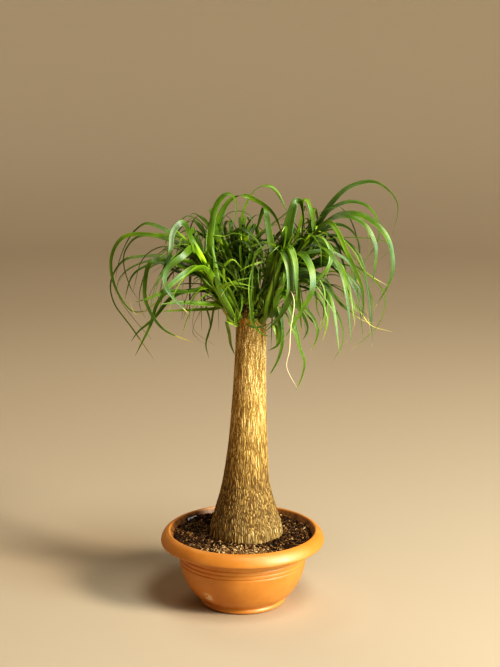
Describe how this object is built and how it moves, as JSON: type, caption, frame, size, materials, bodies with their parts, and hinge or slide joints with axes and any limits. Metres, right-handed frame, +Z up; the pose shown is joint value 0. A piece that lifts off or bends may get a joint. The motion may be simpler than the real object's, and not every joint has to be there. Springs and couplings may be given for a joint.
{
  "type": "potted ponytail palm",
  "caption": "House plant: a bulb-footed woody trunk, cut off flat, with heads of long arching strap leaves, standing in soil in a round plastic bowl.",
  "frame": {"origin": "centre of the pot's flat underside", "axes": "+Z up along the pot's axis, -Y towards the viewer of the picture, +X to the viewer's right"},
  "size_m": [0.573, 0.4274, 0.8479],
  "materials": {
    "pot": "satin terracotta-coloured plastic, lightly scuffed",
    "soil": "crumbly potting mix with bark chips and pale grit",
    "bark": "dry tan bark with upright dark fissures",
    "leaf": "smooth, lightly glossy green with fine lengthwise veins",
    "label": "plain white plastic"
  },
  "bodies": {
    "root": {"pot": "pot", "soil": "soil", "trunk": "bark", "head_left": "leaf", "head_back_left": "leaf", "head_back": "leaf", "head_right_front": "leaf", "head_right_back": "leaf", "head_sprout": "leaf", "plant_label": "label"}
  },
  "joints": []
}
